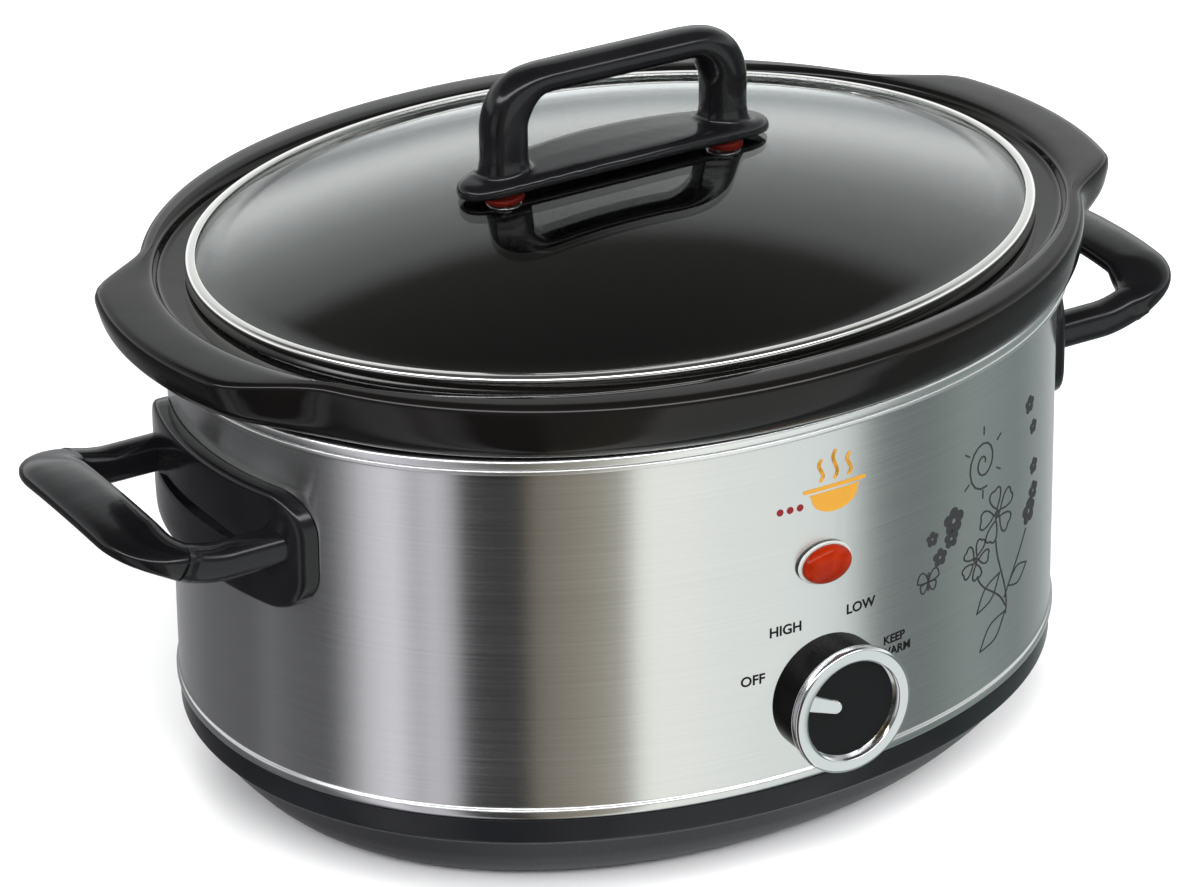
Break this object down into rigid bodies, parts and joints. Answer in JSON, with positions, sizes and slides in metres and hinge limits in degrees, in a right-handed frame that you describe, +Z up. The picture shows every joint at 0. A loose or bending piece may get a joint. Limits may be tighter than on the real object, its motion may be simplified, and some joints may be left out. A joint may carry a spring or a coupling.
{
  "type": "slow cooker",
  "caption": "Oval slow cooker: brushed metal shell, lift-out black glazed crock, domed glass lid with loop handle, side handles and a front control knob.",
  "frame": {"origin": "on the surface it stands on, under the middle of the oval", "axes": "+X along the long axis, towards the right-hand handle; -Y out of the front with the knob; +Z up"},
  "size_m": [0.3864, 0.2645, 0.2298],
  "materials": {
    "shell_steel": "brushed",
    "pan_steel": "bright rolled rim, satin well",
    "heater_tape": "matt woven glass fibre",
    "fastener_steel": "bright",
    "base_plastic": "satin",
    "switch_plastic": "matt",
    "shaft_brass": "turned",
    "gloss_plastic": "gloss",
    "face_plastic": "satin",
    "bezel_chrome": "polished",
    "lamp_clear": "clear",
    "lamp_red": "gloss",
    "lead_brown": "matt",
    "lead_red": "matt",
    "lead_blue": "matt",
    "lead_green": "matt",
    "crock_glaze": "high gloss glaze",
    "lid_glass": "clear tempered",
    "rim_steel": "bright rolled",
    "foot_rubber": "matt",
    "seal_silicone": "satin"
  },
  "bodies": {
    "base": {"outer_shell": "shell_steel", "heating_pan": "pan_steel", "heater_band": "heater_tape", "band_clamp": "fastener_steel", "clamp_screw": "fastener_steel", "thermal_fuse": "fastener_steel", "fuse_clip": "fastener_steel", "base_tray": "base_plastic", "pan_stud": "fastener_steel", "stud_washer": "fastener_steel", "stud_nut": "fastener_steel", "rotary_switch": "switch_plastic", "switch_nut": "fastener_steel", "lamp_bezel": "lamp_clear", "lamp_lens": "lamp_red", "neon_lamp": "lamp_clear", "terminal_block": "switch_plastic", "cord_gland": "base_plastic", "lead_to_switch": "lead_brown", "lead_to_heater": "lead_red", "lead_return": "lead_blue", "lead_earth": "lead_green", "foot_front_left": "foot_rubber", "foot_rear_left": "foot_rubber", "foot_front_right": "foot_rubber", "foot_rear_right": "foot_rubber", "handle_plate_left": "gloss_plastic", "side_handle_left": "gloss_plastic", "handle_plate_right": "gloss_plastic", "side_handle_right": "gloss_plastic", "handle_screw_front_left": "fastener_steel", "handle_screw_rear_left": "fastener_steel", "handle_screw_front_right": "fastener_steel", "handle_screw_rear_right": "fastener_steel"},
    "crock": {"crock": "crock_glaze"},
    "lid": {"lid_glass": "lid_glass", "lid_rim": "rim_steel", "lid_handle": "gloss_plastic", "lid_seal_left": "seal_silicone", "lid_seal_right": "seal_silicone", "lid_washer_left": "fastener_steel", "lid_washer_right": "fastener_steel", "lid_screw_left": "fastener_steel", "lid_screw_right": "fastener_steel"},
    "knob": {"knob_body": "gloss_plastic", "knob_face": "face_plastic", "knob_bezel": "bezel_chrome", "switch_shaft": "shaft_brass"}
  },
  "joints": [
    {"name": "crock_lift", "type": "slide", "parent": "base", "child": "crock", "axis": [0, 0, 1], "range_m": [0, 0.15]},
    {"name": "lid_lift", "type": "slide", "parent": "crock", "child": "lid", "axis": [0, 0, 1], "range_m": [0, 0.09]},
    {"name": "knob_turn", "type": "hinge", "parent": "base", "child": "knob", "pos_m": [0, -0.1187, 0.062], "axis": [0, 1, 0], "range_deg": [0, 138]}
  ]
}
